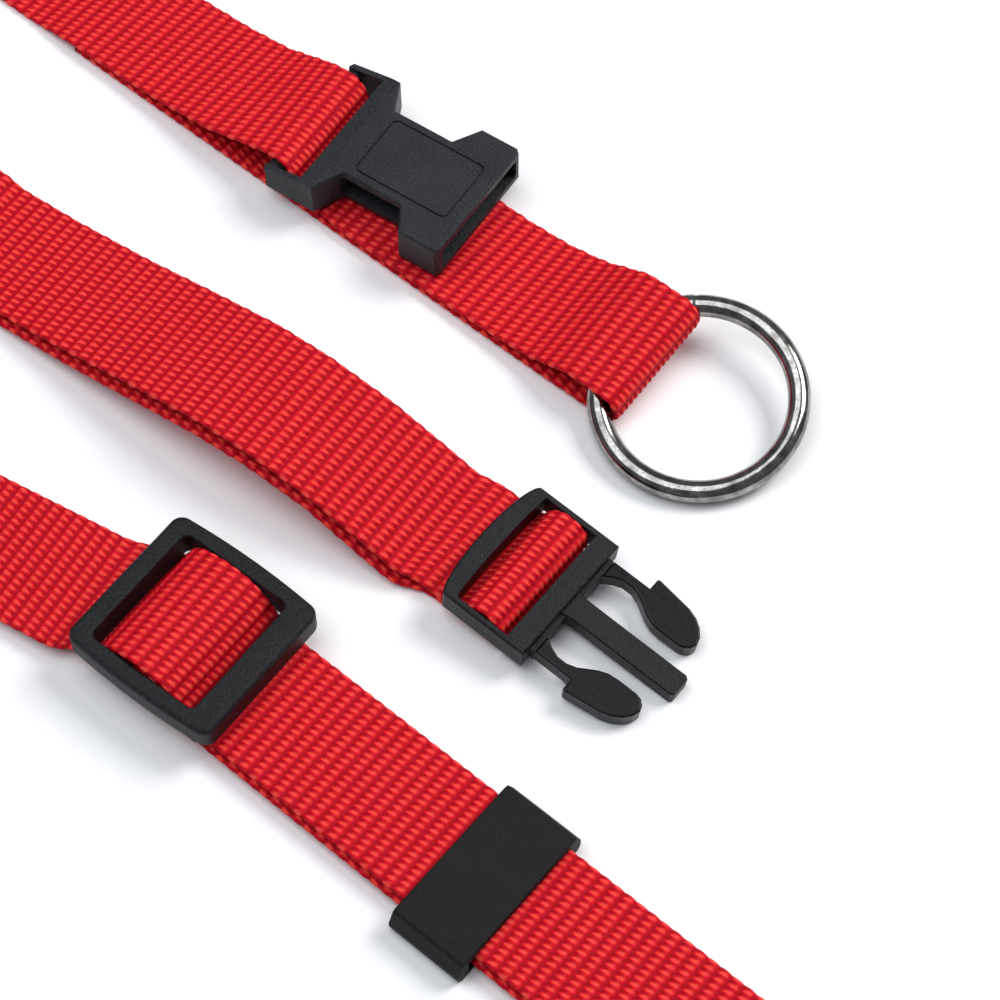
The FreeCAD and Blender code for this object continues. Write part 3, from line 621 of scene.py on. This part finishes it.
def corner_grid(lane_from, lane_to, x, start, finish, facing=1.0):
    """Two flat 45 degree folds that carry the strap from one lane across to the next."""
    way = -lane_way(lane_from)
    corner, second = lane_point(lane_from, x), lane_point(lane_to, x)
    first = np.array([lane_from[0], lane_from[1]]) - way * start
    lead = np.linalg.norm(corner - first)
    leg = np.linalg.norm(second - corner)
    last = np.array([lane_to[0], lane_to[1]]) + lane_way(lane_to) * finish
    total = lead + leg + np.linalg.norm(last - second)
    count = int(round(total / ROW_SPACING))
    s = np.linspace(0.0, total, count + 1)
    side = np.array([way[1], -way[0]])
    v = facing * across_places()
    flat = first + s[:, None, None] * way + v[None, :, None] * side
    points = np.concatenate([flat, np.full(flat.shape[:2] + (1,), HALF_THICK)], axis=2)
    everything = np.ones(points.shape[:2], bool)
    down = np.array([0.0, -1.0])
    turn_first = (math.atan2(way[1], way[0]) % (2 * math.pi) + math.radians(270)) / 2
    points = fold_over(points, everything, corner, turn_first, way, 1.0)
    past = np.broadcast_to((s > lead + leg / 2)[:, None], points.shape[:2])
    turn_second = (math.radians(-90) + math.radians(lane_to[2])) / 2
    return fold_over(points, past, second, turn_second, down, -1.0)


# ==== the woven surface ===============================================================================
def woven_height(along, across):
    """How far the weave stands above the valleys at a place on the strap."""
    rib = np.round(along / RIB_PITCH)
    ahead = along - rib * RIB_PITCH
    place = across + BUMP_SLANT * ahead + BUMP_PITCH / 2 * (rib % 2)
    bumps = np.cos(2 * math.pi * place / BUMP_PITCH)
    crest = np.maximum(np.cos(math.pi * ahead / RIB_PITCH), 0.0) ** RIB_FULLNESS
    dip = BUMP_DIP * (BUMP_JOINED + ahead / RIB_PITCH)
    return RIB_HEIGHT * crest * (1.0 - dip + dip * bumps)


def surface_normals(grid):
    along = np.gradient(grid, axis=0)
    across = np.gradient(grid, axis=1)
    normal = np.cross(along, across)
    return normal / np.maximum(np.linalg.norm(normal, axis=2, keepdims=True), 1e-9)


def strap_mesh(name, grid, normals, along, cut_ends=(False, False)):
    """A closed woven strip round a mid-surface grid; cut_ends says which of its ends are singed."""
    across = across_places()
    face = CORE_HALF + woven_height(along[:, None], across[None, :])
    rear = CORE_HALF + woven_height(along[:, None] + RIB_PITCH, across[None, :])
    from_edge = np.clip((WEB_WIDTH / 2 - np.abs(across)) / EDGE_TAPER, 0.0, 1.0)
    taper = np.sqrt(from_edge) * (1.0 - EDGE_THIN) + EDGE_THIN
    front = grid + normals * (face * taper)[..., None]
    behind = grid - normals * (rear * taper)[..., None]
    side = grid[:, -1] - grid[:, 0]
    side /= np.linalg.norm(side, axis=1, keepdims=True)
    swell = EDGE_SCALLOP * np.abs(np.cos(math.pi * along / RIB_PITCH)) + EDGE_SWELL

    def selvedge(column, outwards):
        rounds = []
        for k in range(1, EDGE_ROWS + 1):
            angle = math.pi * k / (EDGE_ROWS + 1)
            height = np.cos(angle) * np.where(np.cos(angle) > 0, face[:, column], rear[:, column])
            bulge = swell * math.sin(angle)
            rounds.append(grid[:, column] + normals[:, column] * (height * taper[column])[:, None]
                          + side * (outwards * bulge)[:, None])
        return rounds

    right = selvedge(ACROSS - 1, 1.0)
    left = selvedge(0, -1.0)[::-1]
    right, left = np.stack(right, axis=1), np.stack(left, axis=1)
    loop = np.concatenate([front, right, behind[:, ::-1], left], axis=1)
    rows, columns = loop.shape[:2]
    index = np.arange(rows * columns).reshape(rows, columns)
    beside = np.roll(index, -1, axis=1)
    quads = np.stack([index[:-1], index[1:], beside[1:], beside[:-1]], axis=2).reshape(-1, 4)
    faces = quads.tolist()
    for row, flip in ((0, True), (rows - 1, False)):
        faces += end_cap(index[row], flip)
    piece = new_piece(name, loop.reshape(-1, 3), faces, WEBBING)
    place = np.zeros((rows, columns, 3))
    place[..., 0] = along[:, None]
    edge = [WEB_WIDTH / 2] * EDGE_ROWS
    place[..., 1] = np.concatenate([across, edge, across[::-1], [-w for w in edge]])[None, :]
    for is_cut, last, before in zip(cut_ends, (0, -1), (1, -2)):
        if is_cut:
            place[last, :, 2] = SINGED
            place[before, :, 2] = BESIDE_SINGED
    attribute = piece.data.attributes.new("strap_place", "FLOAT_VECTOR", "POINT")
    attribute.data.foreach_set("vector", place.reshape(-1).astype(np.float32))
    piece.data.update()
    return piece


def end_cap(loop, flip):
    """Quads that close the strip's end, joining each front point to the one behind it."""
    front = loop[:ACROSS]
    behind = loop[ACROSS + EDGE_ROWS:2 * ACROSS + EDGE_ROWS][::-1]
    right = loop[ACROSS:ACROSS + EDGE_ROWS]
    left = loop[2 * ACROSS + EDGE_ROWS:][::-1]
    faces = []
    for a, b, c, d in zip(front[:-1], front[1:], behind[1:], behind[:-1]):
        faces.append([a, b, c, d])
    faces.append([front[-1], *right, behind[-1]])
    faces.append([behind[0], *left[::-1], front[0]])
    if not flip:
        faces = [f[::-1] for f in faces]
    return [[int(i) for i in f] for f in faces]


# ==== the strap, one long grid cut into named pieces ==================================================
def strap_grid():
    """The whole strap's mid-surface, and the row where each section starts."""
    sections = [
        route_grid(ring_lane_rows(), LANE_SOFTNESS),
        corner_grid(RING_LANE, MALE_LANE, TURN_A_X, TURN_A_START, TURN_A_FINISH),
        route_grid(male_lane_rows(), LANE_SOFTNESS, -1.0),
        corner_grid(MALE_UNDER_LANE, LEFT_LANE, TURN_B_X, TURN_B_START, TURN_B_FINISH, -1.0),
        route_grid(loop_lane_rows(), LOOP_SOFTNESS),
    ]
    starts, grids, at = [], [], 0
    for section in sections:
        if grids:
            section = section[1:]
        starts.append(at)
        at += len(section)
        grids.append(section)
    return np.concatenate(grids), starts


WEBBING = webbing_material()


def joined_lengths(grid):
    """Distance along the strap of each row, on its middle line."""
    return travelled(grid[:, ACROSS // 2])


def row_past(grid, first, last, x, rising):
    """The first row from first on whose middle passes x, in the direction the strap runs."""
    line = grid[first:last, ACROSS // 2, 0]
    passed = line > x if rising else line < x
    return first + int(np.argmax(passed))


def strap_cuts(grid, starts):
    """Each piece's name and last row, in order from the cut end."""
    ring, turn_a, male, turn_b, loop = starts
    end = len(grid) - 1
    x = grid[:, ACROSS // 2, 0]
    fold = ring + int(np.argmax(x[ring:turn_a]))
    wrap = male + int(np.argmax(x[male:turn_b]))
    far = loop + int(np.argmax(x[loop:]))
    male_cut = MALE_LANE[0] + MALE_CUT_X
    return [
        ("red_strap_ring_end", row_past(grid, fold, turn_a, RING_CUT_X, False)),
        ("red_strap_ring_run", turn_a),
        ("red_strap_first_folds", male),
        ("red_strap_male_front", row_past(grid, male, wrap, male_cut, True)),
        ("red_strap_male_end", row_past(grid, wrap, turn_b, male_cut, False)),
        ("red_strap_male_back", turn_b),
        ("red_strap_second_folds", loop),
        ("red_strap_loop_start", row_past(grid, loop, far, LOOP_LANE[0], True)),
        ("red_strap_loop_under", row_past(grid, far, end, LOOP_LANE[0] + UPPER_TO_X, False)),
        ("red_strap_loop_over", end),
    ]


STANDS_FOR = {
    "red_strap_ring_end": ["webbing_tail_layer", "webbing_ring_loop"],
    "red_strap_ring_run": ["webbing_ring_run"],
    "red_strap_first_folds": ["webbing_cross_ring_male"],
    "red_strap_male_front": ["webbing_male_upper"],
    "red_strap_male_end": ["webbing_male_loop"],
    "red_strap_male_back": ["webbing_male_lower"],
    "red_strap_second_folds": ["webbing_cross_male_loop"],
    "red_strap_loop_start": ["webbing_loop_left"],
    "red_strap_loop_under": ["webbing_loop_lower"],
    "red_strap_loop_over": ["webbing_loop_upper"],
}


def make_strap():
    grid, starts = strap_grid()
    normals = surface_normals(grid)
    along = joined_lengths(grid)
    made = {}
    at = 0
    for name, stop in strap_cuts(grid, starts):
        span = slice(at, stop + 1)
        cut = (name == "red_strap_ring_end", False)
        piece = strap_mesh(name, grid[span], normals[span], along[span], cut)
        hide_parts(*STANDS_FOR[name])
        made[name] = piece
        at = stop
    return made


def attach_strap(made):
    """Each piece rides on the strap, except the ring end and the male end, which are baked in place;
    the loop's upper layer gets a mesh of its own.
    """
    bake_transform(made["red_strap_ring_end"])
    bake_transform(made["red_strap_male_end"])
    over = made["red_strap_loop_over"]
    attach(over, "strap")
    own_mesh(over)
    bending = ("red_strap_ring_end", "red_strap_male_end", "red_strap_loop_over")
    for name, piece in made.items():
        if name not in bending:
            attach(piece, "strap")


def make_slider_strap():
    """The strap over the slider's middle bar, and its own end sewn round that bar."""
    for name, rows in (("red_strap_slider_hump", slider_hump_rows()),
                       ("red_strap_slider_end", slider_inner_rows())):
        grid = route_grid(rows, SLIDER_SOFTNESS)
        along = joined_lengths(grid)
        piece = strap_mesh(name, grid, surface_normals(grid), along, (False, name.endswith("end")))
        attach(piece, "slider")
        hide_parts("webbing_slider_wrap")


# ==== thread ==========================================================================================
def tube(points, radius, sides):
    """Vertices and faces of a round thread through points, closed at both ends."""
    points = np.array(points, float)
    way = np.gradient(points, axis=0)
    way /= np.linalg.norm(way, axis=1, keepdims=True)
    across = np.cross(way, (1.0, 0.0, 0.0))
    across /= np.linalg.norm(across, axis=1, keepdims=True)
    up = np.cross(across, way)
    angles = np.linspace(0, 2 * math.pi, sides, endpoint=False)
    skin = [p + radius * (math.cos(a) * c + math.sin(a) * u)
            for p, c, u in zip(points, across, up) for a in angles]
    faces = []
    for i in range(len(points) - 1):
        for k in range(sides):
            n = (k + 1) % sides
            faces.append([i * sides + k, i * sides + n, (i + 1) * sides + n, (i + 1) * sides + k])
    faces.append(list(range(sides))[::-1])
    faces.append([(len(points) - 1) * sides + k for k in range(sides)])
    return skin, faces


def make_stitches():
    """Rows of short raised stitches, each an arched length of thread across the strap."""
    points, faces = [], []
    for x in STITCH_ROWS_X:
        for i in range(STITCHES):
            middle = STITCH_FROM + STITCH_PITCH * i + STITCH_LENGTH / 2
            arc = []
            for share in np.linspace(-1.0, 1.0, STITCH_POINTS):
                arc.append((RING_LANE[0] + x, RING_LANE[1] + middle + share * STITCH_LENGTH / 2,
                            STITCH_Z + STITCH_RISE * (1 - share ** 2)))
            skin, quads = tube(arc, THREAD_R, THREAD_SIDES)
            faces += [[len(points) + f for f in face] for face in quads]
            points += skin
    piece = new_piece("ring_end_thread", points, faces, thread_material())
    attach(piece, "strap")
    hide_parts("ring_end_stitches")


# ==== ring ============================================================================================
def ring_basis():
    """Two directions in the ring's plane, and the one square to it."""
    pitch, roll = math.radians(RING_PITCH), math.radians(RING_ROLL)
    normal = np.array([math.sin(pitch), -math.sin(roll) * math.cos(pitch),
                       math.cos(roll) * math.cos(pitch)])
    first = np.cross((0.0, 1.0, 0.0), normal)
    first /= np.linalg.norm(first)
    return first, np.cross(normal, first), normal


def ring_centre():
    """Set so that the wire runs through the fold at both of the strap's selvedges."""
    reach = math.sqrt(RING_MEAN_R ** 2 - (WEB_WIDTH / 2) ** 2)
    drop = reach * math.sin(math.radians(RING_PITCH))
    return np.array([FOLD_X - WIRE_SET_BACK + reach, RING_LANE[1], FOLD_Z - drop])


def make_ring():
    """Bent wire with its two cut ends butted together, a little out of line."""
    first, second, normal = ring_basis()
    turns = np.radians(np.linspace(0, 360, RING_STEPS, endpoint=False))
    sides = np.linspace(0, 2 * math.pi, RING_SIDES, endpoint=False)
    from_seam = turns - math.radians(SEAM_ANGLE)
    arc = from_seam * RING_MEAN_R
    pinch = SEAM_DEPTH * np.exp(-(arc / SEAM_WIDTH) ** 2)
    step = SEAM_OFFSET * np.tanh(arc / SEAM_OFFSET_TURN) * np.exp(-(arc / SEAM_OFFSET_REACH) ** 2)
    wave = WIRE_WAVE * np.sin(WIRE_WAVES * turns)
    points = []
    for turn, dip, shift, uneven in zip(turns, pinch, step, wave):
        out = math.cos(turn) * first + math.sin(turn) * second
        middle = ring_centre() + (RING_MEAN_R + shift) * out
        wire = RING_WIRE_R - dip + uneven
        for side in sides:
            points.append(middle + wire * (math.cos(side) * out + math.sin(side) * normal))
    index = np.arange(len(points)).reshape(RING_STEPS, RING_SIDES)
    ahead = np.roll(index, -1, axis=0)
    quads = np.stack([index, ahead, np.roll(ahead, -1, axis=1), np.roll(index, -1, axis=1)], axis=2)
    ring = new_piece("steel_ring", points, quads.reshape(-1, 4).tolist(), steel_material())
    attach(ring, "ring")
    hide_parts("ring")


# ==== plastic hardware: the CAD pieces with moulded finishes ==========================================
def finish_hardware():
    plastics = {name: plastic_material(name, **look) for name, look in PLASTICS.items()}
    for node, plastic in PLASTIC_OF.items():
        piece = frame["nodes"][node]
        piece.data.materials.clear()
        piece.data.materials.append(plastics[plastic])


add_camera()
add_lights()
add_floor()
attach_strap(make_strap())
make_slider_strap()
make_stitches()
make_ring()
finish_hardware()
